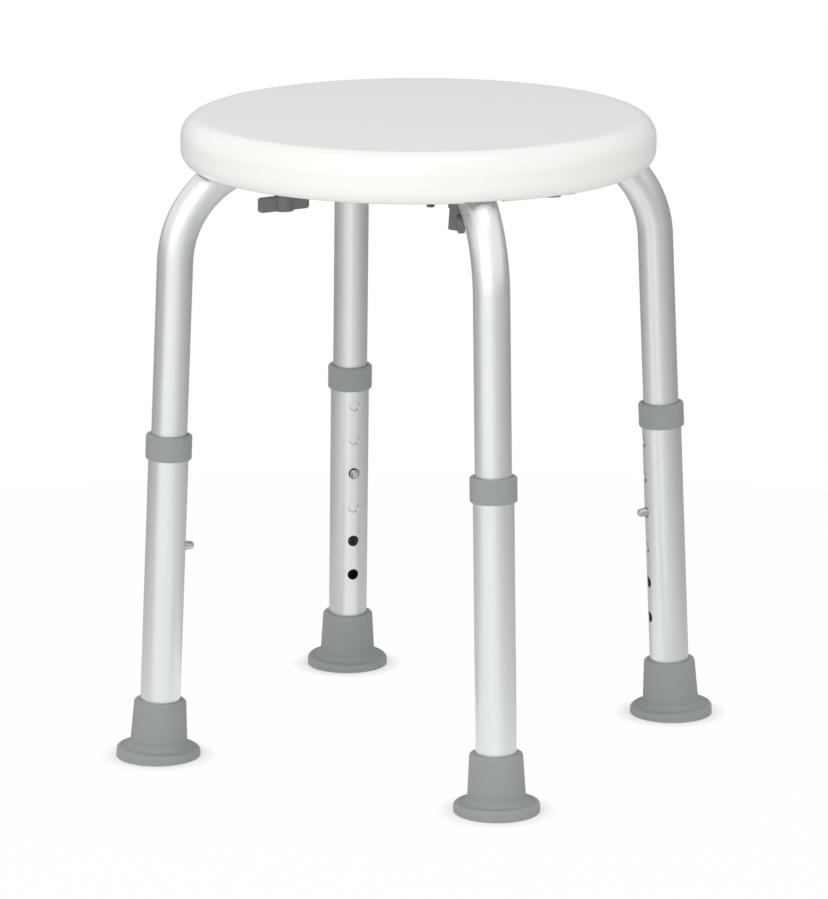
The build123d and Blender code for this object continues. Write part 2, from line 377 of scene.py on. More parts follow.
def close_tree(tree, geometry, material):
    """Ends a tree in Realize Instances and Set Material."""
    realized = add_node(tree, "GeometryNodeRealizeInstances", {"Geometry": geometry})
    painted = add_node(
        tree, "GeometryNodeSetMaterial", {"Geometry": realized.outputs[0], "Material": material}
    )
    join_nodes(tree, painted.outputs[0], tree.nodes.new("NodeGroupOutput").inputs[0])


def grow(piece, tree, identifiers, values):
    """Runs a geometry tree on a piece and keeps the result as its plain mesh."""
    modifier = piece.modifiers.new(tree.name, "NODES")
    modifier.node_group = tree
    for label, value in values.items():
        modifier[identifiers[label]] = value
    graph = bpy.context.evaluated_depsgraph_get()
    mesh = bpy.data.meshes.new_from_object(piece.evaluated_get(graph))
    piece.modifiers.remove(modifier)
    mesh.name = piece.name
    if not mesh.polygons:
        raise RuntimeError(f"{piece.name}: its geometry tree made no faces")
    piece.data = mesh


# Materials


def new_material(name):
    """A node material with only its shader and output; returns it, its tree and the shader."""
    material = bpy.data.materials.new(name)
    material.use_nodes = True
    tree = material.node_tree
    return material, tree, tree.nodes["Principled BSDF"]


def object_places(tree):
    """Object coordinates, in metres."""
    return add_node(tree, "ShaderNodeTexCoord").outputs["Object"]


def noise(tree, places, scale, detail=2.0, roughness=0.5):
    """A noise value of that many features to the metre."""
    inputs = {"Vector": places, "Scale": scale, "Detail": detail, "Roughness": roughness}
    return add_node(tree, "ShaderNodeTexNoise", inputs).outputs["Fac"]


def stretched(tree, places, scale):
    """Coordinates that are scaled along each axis."""
    return add_node(tree, "ShaderNodeMapping", {"Vector": places, "Scale": scale}).outputs[0]


def ranged(tree, value, low, high, start=0.0, end=1.0):
    """A value from one range to another, without going past its ends."""
    inputs = {"Value": value, "From Min": start, "From Max": end, "To Min": low, "To Max": high}
    return add_node(tree, "ShaderNodeMapRange", inputs).outputs[0]


def vector_length(tree, vector):
    """The length of a vector."""
    return add_node(tree, "ShaderNodeVectorMath", {0: vector}, operation="LENGTH").outputs["Value"]


def tinted(tree, factor, first, second):
    """A colour between two colours."""
    node = add_node(tree, "ShaderNodeMix", data_type="RGBA")
    join_nodes(tree, factor, node.inputs["Factor"])
    for key, colour in ((6, first), (7, second)):
        node.inputs[key].default_value = (*colour, 1.0)
    return node.outputs[2]


def colour_between(tree, factor, colour, darker, lighter, shader):
    """The shader's colour varies between a darker and a lighter shade."""
    varied = tinted(tree, factor, shade(colour, darker), shade(colour, lighter))
    join_nodes(tree, varied, shader.inputs["Base Color"])


def relief(tree, height, strength, distance, below=None):
    """A bump from a height, on top of another one where given."""
    inputs = {"Height": height, "Strength": strength, "Distance": distance}
    if below is not None:
        inputs["Normal"] = below
    return add_node(tree, "ShaderNodeBump", inputs).outputs[0]


def shade(colour, factor):
    """A colour made lighter or darker."""
    return tuple(min(1.0, channel * factor) for channel in colour)


def seat_plastic():
    """White plastic with a fine moulded grain and a few rubbed patches."""
    colour = settings("stool_finishes").seat_colour
    material, tree, shader = new_material("seat_plastic")
    places = object_places(tree)
    clouds = noise(tree, places, 14.0, 3.0)
    grain = noise(tree, places, 1500.0, 2.0, 0.6)
    rubbed = noise(tree, places, 70.0, 4.0)
    colour_between(tree, clouds, colour, 0.985, 1.012, shader)
    join_nodes(tree, ranged(tree, rubbed, 0.36, 0.48, 0.3, 0.7), shader.inputs["Roughness"])
    join_nodes(tree, relief(tree, grain, 0.10, 0.0002), shader.inputs["Normal"])
    shader.inputs["IOR"].default_value = 1.49
    return material


def tube_aluminium():
    """Satin anodised aluminium with fine lines drawn along the tube."""
    colour = settings("stool_finishes").tube_colour
    material, tree, shader = new_material("tube_aluminium")
    along = add_node(tree, "ShaderNodeAttribute", attribute_name="tube_grain").outputs["Vector"]
    lines = noise(tree, stretched(tree, along, (2600.0, 2600.0, 14.0)), 1.0, 2.0, 0.6)
    handled = noise(tree, stretched(tree, along, (60.0, 60.0, 22.0)), 1.0, 4.0)
    speck = noise(tree, along, 2200.0, 1.0)
    colour_between(tree, lines, colour, 0.965, 1.03, shader)
    drawn = ranged(tree, lines, -0.03, 0.03, 0.3, 0.7)
    satin = maths(tree, "ADD", drawn, ranged(tree, handled, 0.31, 0.38, 0.3, 0.7))
    join_nodes(tree, satin, shader.inputs["Roughness"])
    fine = relief(tree, speck, 0.05, 0.0001)
    join_nodes(tree, relief(tree, lines, 0.06, 0.0001, fine), shader.inputs["Normal"])
    shader.inputs["Metallic"].default_value = 1.0
    return material


def moulded_grey(name, colour, roughness, grain_scale, grain_strength):
    """Grey moulded plastic or rubber with a fine matt grain."""
    material, tree, shader = new_material(name)
    places = object_places(tree)
    clouds = noise(tree, places, 45.0, 3.0)
    grain = noise(tree, places, grain_scale, 2.0, 0.65)
    patches = noise(tree, places, 140.0, 4.0)
    fine = maths(tree, "MULTIPLY", grain, 0.4)
    mottled = maths(tree, "ADD", maths(tree, "MULTIPLY", clouds, 0.6), fine)
    colour_between(tree, mottled, colour, 0.90, 1.10, shader)
    spread = ranged(tree, patches, roughness - 0.06, roughness + 0.06, 0.3, 0.7)
    join_nodes(tree, spread, shader.inputs["Roughness"])
    join_nodes(tree, relief(tree, grain, grain_strength, 0.0002), shader.inputs["Normal"])
    shader.inputs["IOR"].default_value = 1.5
    return material


def plated_metal(name, colour, roughness):
    """Plated steel with a faint mottle."""
    material, tree, shader = new_material(name)
    places = object_places(tree)
    clouds = noise(tree, places, 260.0, 3.0)
    grain = noise(tree, places, 2400.0, 2.0)
    colour_between(tree, clouds, colour, 0.90, 1.08, shader)
    spread = ranged(tree, grain, roughness - 0.05, roughness + 0.07, 0.3, 0.7)
    join_nodes(tree, spread, shader.inputs["Roughness"])
    join_nodes(tree, relief(tree, grain, 0.05, 0.0001), shader.inputs["Normal"])
    shader.inputs["Metallic"].default_value = 1.0
    return material


def finish(name):
    """The material of that name, made the first time it is asked for."""
    ready = bpy.data.materials.get(name)
    if ready is not None:
        return ready
    colours = settings("stool_finishes")
    makers = {
        "seat_plastic": (seat_plastic,),
        "tube_aluminium": (tube_aluminium,),
        "collar_plastic": (moulded_grey, name, colours.collar_colour, 0.48, 1700.0, 0.12),
        "foot_rubber": (moulded_grey, name, colours.foot_colour, 0.62, 1300.0, 0.20),
        # The nuts' and washers' plastic takes the darkened grey: its own grey plus painted shade from the
        # seat above
        "nut_plastic": (moulded_grey, name, colours.nut_colour_painted_shade, 0.42, 1700.0, 0.10),
        "button_nickel": (plated_metal, name, colours.button_colour, 0.10),
        "stud_steel": (plated_metal, name, colours.stud_colour, 0.34),
    }
    maker, *values = makers[name]
    return maker(*values)


# Tubes


def drilled_tube_tree():
    """Tube along a path of edges: its corners are rounded and its wall is drilled at even steps."""
    tree, given, identifiers = make_tree(
        "drilled_tube",
        (
            ("Outer Radius", "Float"),
            ("Bore", "Float"),
            ("Bend Radius", "Float"),
            ("Ring Step", "Float"),
            ("Segments", "Int"),
            ("Drill", "Object"),
            ("Drill Count", "Int"),
            ("Drill Step", "Vector"),
            ("Material", "Material"),
        ),
    )
    line = add_node(tree, "GeometryNodeMeshToCurve", {"Mesh": given["Geometry"]})
    rounded = add_node(
        tree,
        "GeometryNodeFilletCurve",
        {"Curve": line.outputs[0], "Radius": given["Bend Radius"], "Count": BEND_POINTS},
        mode="POLY",
    )
    path = add_node(
        tree,
        "GeometryNodeResampleCurve",
        {"Curve": rounded.outputs[0], "Length": given["Ring Step"]},
        mode="LENGTH",
    ).outputs[0]
    tangent = tree.nodes.new("GeometryNodeInputTangent").outputs[0]
    longer = path
    for at_start, at_end, reach in ((1, 0, -BORE_OVERRUN), (0, 1, BORE_OVERRUN)):
        ends = add_node(
            tree, "GeometryNodeCurveEndpointSelection", {"Start Size": at_start, "End Size": at_end}
        )
        shift = add_node(tree, "ShaderNodeVectorMath", {0: tangent, "Scale": reach}, operation="SCALE")
        longer = add_node(
            tree,
            "GeometryNodeSetPosition",
            {"Geometry": longer, "Selection": ends.outputs[0], "Offset": shift.outputs[0]},
        ).outputs[0]
    bars = []
    for curve, radius in ((path, given["Outer Radius"]), (longer, given["Bore"])):
        circle = add_node(
            tree, "GeometryNodeCurvePrimitiveCircle", {"Resolution": given["Segments"], "Radius": radius}
        )
        bar = add_node(
            tree,
            "GeometryNodeCurveToMesh",
            {"Curve": curve, "Profile Curve": circle.outputs[0], "Fill Caps": True},
        )
        bars.append(bar.outputs[0])
    drill = add_node(tree, "GeometryNodeObjectInfo", {"Object": given["Drill"]}, transform_space="ORIGINAL")
    row = add_node(
        tree, "GeometryNodeMeshLine", {"Count": given["Drill Count"], "Offset": given["Drill Step"]}
    )
    drills = add_node(
        tree,
        "GeometryNodeInstanceOnPoints",
        {"Points": row.outputs[0], "Instance": drill.outputs["Geometry"]},
    )
    cutters = add_node(tree, "GeometryNodeRealizeInstances", {"Geometry": drills.outputs[0]})
    tube = bars[0]
    for cutter in (bars[1], cutters.outputs[0]):
        cut = add_node(
            tree, "GeometryNodeMeshBoolean", {"Mesh 1": tube}, operation="DIFFERENCE", solver="EXACT"
        )
        join_nodes(tree, cutter, cut.inputs["Mesh 2"])
        tube = cut.outputs["Mesh"]
    close_tree(tree, tube, given["Material"])
    return tree, identifiers


def path_mesh(name, points):
    """A mesh of edges through the points."""
    mesh = bpy.data.meshes.new(name)
    mesh.from_pydata(points, [(n, n + 1) for n in range(len(points) - 1)], [])
    return mesh


def add_drill(work, radius, start, end, place):
    """Adds a plain drill along z of the given frame."""
    turned_mesh(work, ((0.0, start), (radius, start), (radius, end), (0.0, end)), place, DRILL_SEGMENTS)


def edge_drill(place, tube_radius, hole_radius, edge, segments=48):
    """A drill along x of the given frame, flared to round the edge of a hole in a tube about z."""
    last = len(HOLE_EDGE_STEPS) - 1
    work = bmesh.new()
    rings = []
    for index in range(-1, last + 2):
        ring = []
        out, down = HOLE_EDGE_STEPS[min(max(index, 0), last)]
        radius = hole_radius + out * edge
        for step in range(segments):
            angle = 2 * pi * step / segments
            across, up = radius * cos(angle), radius * sin(angle)
            depth = sqrt(tube_radius**2 - across**2) + down * edge
            if index < 0:
                depth = HOLE_DRILL_START * tube_radius
            if index > last:
                depth = tube_radius + HOLE_DRILL_OVERRUN
            ring.append(work.verts.new(place @ Vector((depth, across, up))))
        rings.append(ring)
    for low, high in zip(rings, rings[1:]):
        for step in range(segments):
            after = (step + 1) % segments
            work.faces.new((low[step], low[after], high[after], high[step]))
    work.faces.new(rings[0])
    work.faces.new(rings[-1])
    return mesh_from_bmesh("drill", work)


def leg_middle(radius, height):
    """Nearest point of a leg's middle line, the line's direction there and the length up to it."""
    tubes = settings("stool_tubes")
    splay, bend = tubes.splay, tubes.bend_radius
    corner = SEAT_RADIUS + CORNER_OUTSET
    centre_radius = corner + bend * tan(splay) - bend / cos(splay)
    centre_height = RUN_HEIGHT - bend
    angle = atan2(height - centre_height, radius - centre_radius)
    leg_length = (centre_height + bend * sin(splay)) / cos(splay)
    if angle >= pi / 2 or angle < -pi / 2:
        run_start = leg_length + bend * (pi / 2 - splay)
        return (radius, RUN_HEIGHT), (-1.0, 0.0), run_start + centre_radius - radius
    if angle > splay:
        middle = (centre_radius + bend * cos(angle), centre_height + bend * sin(angle))
        return middle, (-sin(angle), cos(angle)), leg_length + bend * (angle - splay)
    reach = (FOOT_RADIUS - radius) * sin(splay) + height * cos(splay)
    middle = (FOOT_RADIUS - reach * sin(splay), reach * cos(splay))
    return middle, (-sin(splay), cos(splay)), reach


def finish_tube(piece, side):
    """Smooth shading that follows the true round, and the grain's coordinates along the tube."""
    mesh = piece.data
    smooth_by_angle(mesh, radians(28))
    inverse = radial_frame(side).inverted()
    grain = np.zeros((len(mesh.vertices), 3), np.float32)
    rounds = []
    for vertex in mesh.vertices:
        local = inverse @ vertex.co
        middle, direction, reach = leg_middle(local.x, local.z)
        offset = Vector((local.x - middle[0], local.y, local.z - middle[1]))
        outwards = Vector((direction[1], 0.0, -direction[0]))
        grain[vertex.index] = (offset.dot(outwards), local.y, reach)
        rounds.append((radial_frame(side).to_3x3() @ offset).normalized())
    attribute = mesh.attributes.new("tube_grain", "FLOAT_VECTOR", "POINT")
    attribute.data.foreach_set("vector", grain.ravel())
    normals = [Vector(corner.vector) for corner in mesh.corner_normals]
    for polygon in mesh.polygons:
        for corner in polygon.loop_indices:
            true_round = rounds[mesh.loops[corner].vertex_index]
            facing = polygon.normal.dot(true_round)
            if abs(facing) > 0.985:
                normals[corner] = true_round if facing > 0 else -true_round
    mesh.normals_split_custom_set(normals)


def make_tube(name, side, points, radius, bore, drill_mesh, drill_count, drill_step, node, body):
    """One drilled tube of a leg."""
    tubes = settings("stool_tubes")
    tree = bpy.data.node_groups.get("drilled_tube")
    if tree is None:
        tree, identifiers = drilled_tube_tree()
    else:
        identifiers = {s.name: s.identifier for s in tree.interface.items_tree if s.in_out == "INPUT"}
    drill = mesh_object("drill", drill_mesh)
    piece = mesh_object(name, path_mesh(name, points))
    values = {
        "Outer Radius": radius,
        "Bore": bore,
        "Bend Radius": tubes.bend_radius,
        "Ring Step": tubes.ring_step,
        "Segments": tubes.segments,
        "Drill": drill,
        "Drill Count": drill_count,
        "Drill Step": drill_step,
        "Material": finish("tube_aluminium"),
    }
    grow(piece, tree, identifiers, values)
    bpy.data.objects.remove(drill)
    finish_tube(piece, side)
    finish_piece(piece, body, "aluminium_tube", node)


class STOOL_OT_upper_tubes(bpy.types.Operator):
    """Bent upper leg tubes, drilled for their studs and buttons"""

    bl_idname = "stool.upper_tubes"
    bl_label = "Upper leg tubes"

    def execute(self, context):
        tubes = settings("stool_tubes")
        for side in LEG_AZIMUTHS:
            leg, plane = leg_frame(side), radial_frame(side)
            work = bmesh.new()
            for radius in STUD_CIRCLES.values():
                place = plane @ Matrix.Translation((radius, 0.0, RUN_HEIGHT))
                add_drill(work, STUD_HOLE_RADIUS, -STUD_DRILL_REACH, STUD_DRILL_REACH, place)
            inwards = leg @ Matrix.Translation((0.0, 0.0, BUTTON_HEIGHT)) @ Matrix.Rotation(-pi / 2, 4, "Y")
            hole_radius = settings("stool_hardware").button_radius + BUTTON_CLEARANCE
            add_drill(work, hole_radius, BUTTON_DRILL_START, BUTTON_DRILL_END, inwards)
            corner = plane @ Vector((SEAT_RADIUS + CORNER_OUTSET, 0.0, RUN_HEIGHT))
            points = [
                leg @ Vector((0.0, 0.0, UPPER_END)),
                corner,
                plane @ Vector((RUN_INNER_END, 0.0, RUN_HEIGHT)),
            ]
            make_tube(
                f"bent_tube_{side}",
                side,
                points,
                tubes.upper_radius,
                tubes.upper_bore,
                mesh_from_bmesh("drill", work),
                1,
                (0.0, 0.0, 0.0),
                f"upper_leg_tube_{side}",
                "frame",
            )
        return {"FINISHED"}


class STOOL_OT_lower_tubes(bpy.types.Operator):
    """Straight lower leg tubes with their row of height holes"""

    bl_idname = "stool.lower_tubes"
    bl_label = "Lower leg tubes"

    def execute(self, context):
        tubes = settings("stool_tubes")
        for side in LEG_AZIMUTHS:
            leg = leg_frame(side)
            place = leg @ Matrix.Translation((0.0, 0.0, FIRST_HOLE)) @ Matrix.Rotation(pi, 4, "Z")
            step = leg.to_3x3() @ Vector((0.0, 0.0, -tubes.hole_pitch))
            make_tube(
                f"hole_tube_{side}",
                side,
                [leg @ Vector((0.0, 0.0, LOWER_START)), leg @ Vector((0.0, 0.0, LOWER_TOP))],
                tubes.lower_radius,
                tubes.lower_bore,
                edge_drill(place, tubes.lower_radius, tubes.hole_radius, tubes.hole_edge),
                tubes.hole_count,
                step,
                f"lower_leg_tube_{side}",
                f"leg_{side}",
            )
        return {"FINISHED"}


# Seat and moulded pieces


class STOOL_OT_seat(bpy.types.Operator):
    """White plastic of the seat moulding"""

    bl_idname = "stool.seat"
    bl_label = "Seat"

    def execute(self, context):
        dress_node("seat", finish("seat_plastic"))
        return {"FINISHED"}


class STOOL_OT_collars(bpy.types.Operator):
    """Grey plastic of the collars"""

    bl_idname = "stool.collars"
    bl_label = "Collars"

    def execute(self, context):
        for side in LEG_AZIMUTHS:
            dress_node(f"collar_{side}", finish("collar_plastic"))
        return {"FINISHED"}


class STOOL_OT_feet(bpy.types.Operator):
    """Grey rubber of the feet, and the steel discs in them"""

    bl_idname = "stool.feet"
    bl_label = "Feet"

    def execute(self, context):
        for side in LEG_AZIMUTHS:
            dress_node(f"foot_{side}", finish("foot_rubber"))
            dress_node(f"foot_disc_{side}", finish("stud_steel"))
        return {"FINISHED"}


class STOOL_OT_wing_nuts(bpy.types.Operator):
    """Grey plastic of the wing nuts and of the saddle washers above them, darkened past its own tone as
    painted shade from the seat
    """

    bl_idname = "stool.wing_nuts"
    bl_label = "Wing nuts and washers"

    def execute(self, context):
        for side in LEG_AZIMUTHS:
            for ring in STUD_RINGS:
                dress_node(f"wing_nut_{side}_{ring}", finish("nut_plastic"))
        # The washers take the nuts' darkened grey as painted shade under the seat
        dress_node("saddle_washers", finish("nut_plastic"))
        return {"FINISHED"}


# Snap clips


def button_profile(radius, taper, dome, start, wall, nose, steps=8):
    """Profile of a button: (radius, height) points from its root to the middle of its tapered nose."""
    tip = radius - taper
    profile = [(0.0, start), (radius, start), (radius, wall)]
    for step in range(steps + 1):
        angle = pi / 2 * step / steps
        profile.append((tip - dome + dome * cos(angle), nose - dome + dome * sin(angle)))
    profile.append((0.0, nose))
    return profile


def leaf_mesh(place):
    """A bent strip: the hairpin leaf, with its open ends up, square to x of the given frame."""
    line = [(LEAF_LINE, LEAF_TOP), (LEAF_LINE, LEAF_STRAIGHT_END)]
    bend_middle = LEAF_BEND_LOW + LEAF_BEND_RADIUS
    for step in range(LEAF_BEND_STEPS + 1):
        angle = pi * step / LEAF_BEND_STEPS
        line.append((LEAF_BEND_RADIUS * cos(angle), bend_middle - LEAF_BEND_RADIUS * sin(angle)))
    line.append((-LEAF_LINE, LEAF_TOP))
    work = bmesh.new()
    rows = []
    for index, (x, z) in enumerate(line):
        before, after = line[max(index - 1, 0)], line[min(index + 1, len(line) - 1)]
        along = Vector((after[0] - before[0], after[1] - before[1])).normalized()
        row = []
        for side_step, width_step in ((1, 1), (1, -1), (-1, -1), (-1, 1)):
            half = side_step * LEAF_THICKNESS / 2
            point = Vector((x + along.y * half, width_step * LEAF_WIDTH / 2, z - along.x * half))
            row.append(work.verts.new(place @ point))
        rows.append(row)
    for low, high in zip(rows, rows[1:]):
        for step in range(4):
            after = (step + 1) % 4
            work.faces.new((low[step], low[after], high[after], high[step]))
    work.faces.new(rows[0])
    work.faces.new(rows[-1])
    return mesh_from_bmesh("leaf", work)


class STOOL_OT_snap_clips(bpy.types.Operator):
    """Round-nosed buttons and the hairpin leaves behind them"""

    bl_idname = "stool.snap_clips"
    bl_label = "Snap clips"

    def execute(self, context):
        tubes, hardware = settings("stool_tubes"), settings("stool_hardware")
        for side in LEG_AZIMUTHS:
            middle = Matrix.Translation((0.0, 0.0, BUTTON_HEIGHT))
            place = leg_frame(side) @ middle @ Matrix.Rotation(pi, 4, "Z")
            work = bmesh.new()
            profile = button_profile(
                hardware.button_radius,
                hardware.button_taper,
                hardware.button_dome,
                LEAF_LINE + LEAF_THICKNESS / 2,
                tubes.lower_radius,
                BUTTON_NOSE,
            )
            turned_mesh(work, profile, place @ Matrix.Rotation(pi / 2, 4, "Y"), 40)
            button = mesh_object(f"button_{side}", mesh_from_bmesh("button", work))
            smooth_by_angle(button.data)
            button.data.materials.append(finish("button_nickel"))
            finish_piece(button, f"clip_{side}", "spring_steel", f"snap_clip_{side}")

            leaf = mesh_object(f"leaf_{side}", leaf_mesh(place))
            smooth_by_angle(leaf.data)
            leaf.data.materials.append(finish("button_nickel"))
            finish_piece(leaf, "frame", "spring_steel")
            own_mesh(leaf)
        return {"FINISHED"}


# Studs


def stud_tree():
    """Threaded studs with hexagon heads, one at each point of the piece."""
    tree, given, identifiers = make_tree(
        "threaded_studs",
        (
            ("Radius", "Float"),
            ("Length", "Float"),
            ("Pitch", "Float"),
            ("Thread Depth", "Float"),
            ("Rows", "Int"),
            ("Head Radius", "Float"),
            ("Head Height", "Float"),
            ("Material", "Material"),
        ),
    )
    shank = add_node(
        tree,
        "GeometryNodeMeshCylinder",
        {"Vertices": 24, "Side Segments": given["Rows"], "Radius": given["Radius"], "Depth": given["Length"]},
    )
    place = tree.nodes.new("GeometryNodeInputPosition").outputs[0]
    parts = add_node(tree, "ShaderNodeSeparateXYZ", {0: place}).outputs
    turn = maths(tree, "DIVIDE", maths(tree, "ARCTAN2", parts["Y"], parts["X"]), 2 * pi)
    rise = maths(tree, "DIVIDE", parts["Z"], given["Pitch"])
    phase = maths(tree, "FRACT", maths(tree, "SUBTRACT", rise, turn))
    wave = maths(tree, "ABSOLUTE", maths(tree, "SUBTRACT", maths(tree, "MULTIPLY", phase, 2.0), 1.0))
    above_tip = maths(tree, "ADD", parts["Z"], maths(tree, "MULTIPLY", given["Length"], 0.5))
    taper = maths(tree, "SUBTRACT", 1.0, maths(tree, "DIVIDE", above_tip, STUD_TIP_TAPER))
    cut = maths(tree, "MAXIMUM", taper, wave)
    depth = maths(tree, "MULTIPLY", cut, given["Thread Depth"])
    share = maths(tree, "SUBTRACT", 1.0, maths(tree, "DIVIDE", depth, given["Radius"]))
    scale = add_node(tree, "ShaderNodeCombineXYZ", {"X": share, "Y": share, "Z": 1.0}).outputs[0]
    moved = add_node(tree, "ShaderNodeVectorMath", {0: place, 1: scale}, operation="MULTIPLY").outputs[0]
    thread = add_node(tree, "GeometryNodeSetPosition", {"Geometry": shank.outputs["Mesh"], "Position": moved})
    head = add_node(
        tree,
        "GeometryNodeMeshCylinder",
        {"Vertices": 6, "Radius": given["Head Radius"], "Depth": given["Head Height"]},
    )
    lift = maths(tree, "MULTIPLY", maths(tree, "ADD", given["Length"], given["Head Height"]), 0.5)
    raised = add_node(
        tree,
        "GeometryNodeTransform",
        {
            "Geometry": head.outputs["Mesh"],
            "Translation": add_node(tree, "ShaderNodeCombineXYZ", {"Z": lift}).outputs[0],
        },
    )
    stud = tree.nodes.new("GeometryNodeJoinGeometry")
    join_nodes(tree, thread.outputs[0], stud.inputs[0])
    join_nodes(tree, raised.outputs[0], stud.inputs[0])
    placed = add_node(
        tree, "GeometryNodeInstanceOnPoints", {"Points": given["Geometry"], "Instance": stud.outputs[0]}
    )
    close_tree(tree, placed.outputs[0], given["Material"])
    return tree, identifiers


class STOOL_OT_studs(bpy.types.Operator):
    """Threaded studs that hang from the seat"""

    bl_idname = "stool.studs"
    bl_label = "Studs"

    def execute(self, context):
        hardware = settings("stool_hardware")
        tree, identifiers = stud_tree()
        for ring in STUD_RINGS:
            length = STUD_HEAD_BASE - STUD_TIPS[ring]
            points = []
            for side in LEG_AZIMUTHS:
                middle = (STUD_CIRCLES[ring], 0.0, STUD_TIPS[ring] + length / 2)
                points.append(radial_frame(side) @ Vector(middle))
            mesh = bpy.data.meshes.new(f"studs_{ring}")
            mesh.from_pydata(points, [], [])
            piece = mesh_object(f"studs_{ring}", mesh)
            values = {
                "Radius": hardware.stud_radius,
                "Length": length,
                "Pitch": hardware.thread_pitch,
                "Thread Depth": hardware.thread_depth,
                "Rows": ceil(length / hardware.thread_pitch * THREAD_ROWS),
                "Head Radius": STUD_HEAD_RADIUS,
                "Head Height": STUD_HEAD_HEIGHT,
                "Material": finish("stud_steel"),
            }
            grow(piece, tree, identifiers, values)
            smooth_by_angle(piece.data, radians(80))
            finish_piece(piece, "frame", "plated_steel", "seat_studs")
        return {"FINISHED"}


# Stage


def view_axes():
    """Right, towards the camera and up, level with the floor, as the camera stands."""
    heading = radians(CAMERA_HEADING)
    right = Vector((cos(heading), sin(heading), 0.0))
    nearer = Vector((sin(heading), -cos(heading), 0.0))
    return right, nearer, Vector((0.0, 0.0, 1.0))


def add_lamp(name, power):
    """A soft lamp in its place, turned to the stool."""
    place, size = LAMPS[name]
    lamp = bpy.data.lights.new(name, "AREA")
    lamp.shape = "RECTANGLE"
    lamp.size, lamp.size_y = size
    lamp.energy = power
    holder = bpy.data.objects.new(name, lamp)
    bpy.context.scene.collection.objects.link(holder)
    holder.visible_camera = False
    holder.location = sum((axis * value for axis, value in zip(view_axes(), place)), Vector())
    aim = Vector(LAMP_TARGET) - holder.location
    holder.rotation_euler = aim.to_track_quat("-Z", "Y").to_euler()
    return holder


def seen_directly(tree):
    """One for camera, glossy and transmission rays, and nothing for the rest."""
    path = tree.nodes.new("ShaderNodeLightPath").outputs
    seen = maths(tree, "MAXIMUM", path["Is Camera Ray"], path["Is Glossy Ray"])
    return maths(tree, "MAXIMUM", seen, path["Is Transmission Ray"])


def mixed_shader(tree, factor, first, second):
    """A mix of two shader nodes."""
    mixed = tree.nodes.new("ShaderNodeMixShader")
    join_nodes(tree, factor, mixed.inputs[0])
    join_nodes(tree, first.outputs[0], mixed.inputs[1])
    join_nodes(tree, second.outputs[0], mixed.inputs[2])
    return mixed


def white_room(ambient):
    """World that is seen as white and gives an even light."""
    world = bpy.data.worlds.new("white_room")
    world.use_nodes = True
    tree = world.node_tree
    even = tree.nodes["Background"]
    even.inputs["Color"].default_value = (1.0, 1.0, 1.0, 1.0)
    even.inputs["Strength"].default_value = ambient
    white = add_node(tree, "ShaderNodeBackground", {"Color": (1.0, 1.0, 1.0, 1.0), "Strength": 1.0})
    mixed = mixed_shader(tree, seen_directly(tree), even, white)
    join_nodes(tree, mixed.outputs[0], tree.nodes["World Output"].inputs["Surface"])
    bpy.context.scene.world = world


def floor_material(colour):
    """Matt white floor with the feet's shadows, plain white further off and clear from below."""
    material, tree, shader = new_material("floor_white")
    tree.nodes.remove(shader)
    parts = add_node(tree, "ShaderNodeSeparateXYZ", {0: object_places(tree)}).outputs
    matt = add_node(tree, "ShaderNodeBsdfDiffuse", {"Color": (*colour, 1.0)})
    white = add_node(tree, "ShaderNodeEmission", {"Color": (1.0, 1.0, 0.985, 1.0), "Strength": 1.0})
    across, along = (maths(tree, "ABSOLUTE", parts[axis]) for axis in "XY")
    nearest = add_node(
        tree,
        "ShaderNodeCombineXYZ",
        {
            "X": maths(tree, "SUBTRACT", maths(tree, "MAXIMUM", across, along), FOOT_RADIUS),
            "Y": maths(tree, "MINIMUM", across, along),
        },
    )
    share = ranged(tree, vector_length(tree, nearest.outputs[0]), *SHADOW_WHITE, *SHADOW_FADE)
    middle = add_node(tree, "ShaderNodeCombineXYZ", {"X": across, "Y": along})
    far = vector_length(tree, middle.outputs[0])
    share = maths(tree, "MAXIMUM", share, ranged(tree, far, 0.0, 1.0, *FLOOR_FADE))
    factor = maths(tree, "MULTIPLY", share, seen_directly(tree))
    above = mixed_shader(tree, factor, matt, white)
    below = tree.nodes.new("ShaderNodeNewGeometry").outputs["Backfacing"]
    open_below = mixed_shader(tree, below, above, tree.nodes.new("ShaderNodeBsdfTransparent"))
    join_nodes(tree, open_below.outputs[0], tree.nodes["Material Output"].inputs["Surface"])
    return material


def screen_material(side):
    """Glow of the screen: palest at the front, grey at the back, and more near the stool and high up."""
    material, tree, shader = new_material("screen_grey")
    tree.nodes.remove(shader)
    places = object_places(tree)
    flat = stretched(tree, places, (1.0, 1.0, 0.0))
    heading = add_node(tree, "ShaderNodeVectorMath", {0: flat}, operation="NORMALIZE").outputs[0]
    front = radians(SCREEN_PALEST)
    ahead = add_node(
        tree, "ShaderNodeVectorMath", {0: heading, 1: (cos(front), sin(front), 0.0)}, operation="DOT_PRODUCT"
    ).outputs["Value"]
    ramp = tree.nodes.new("ShaderNodeValToRGB")
    join_nodes(tree, ranged(tree, ahead, 0.0, 1.0, -1.0, 1.0), ramp.inputs[0])
    stops = [(position, side + more) for position, more in SCREEN_STOPS] + [SCREEN_PALEST_STOP]
    while len(ramp.color_ramp.elements) < len(stops):
        ramp.color_ramp.elements.new(0.5)
    for element, (position, glow) in zip(ramp.color_ramp.elements, stops):
        element.position = position
        element.color = (glow, glow, glow, 1.0)
    near = ranged(tree, vector_length(tree, flat), *SCREEN_NEAR_GLOW, *SCREEN_NEAR_RADII)
    height = add_node(tree, "ShaderNodeSeparateXYZ", {0: places}).outputs["Z"]
    high = ranged(tree, height, *SCREEN_TOP_GLOW, *SCREEN_TOP_HEIGHTS)
    glow = maths(tree, "ADD", maths(tree, "ADD", ramp.outputs[0], near), high)
    light = add_node(tree, "ShaderNodeEmission", {"Color": glow, "Strength": 1.0})
    join_nodes(tree, light.outputs[0], tree.nodes["Material Output"].inputs["Surface"])
    return material


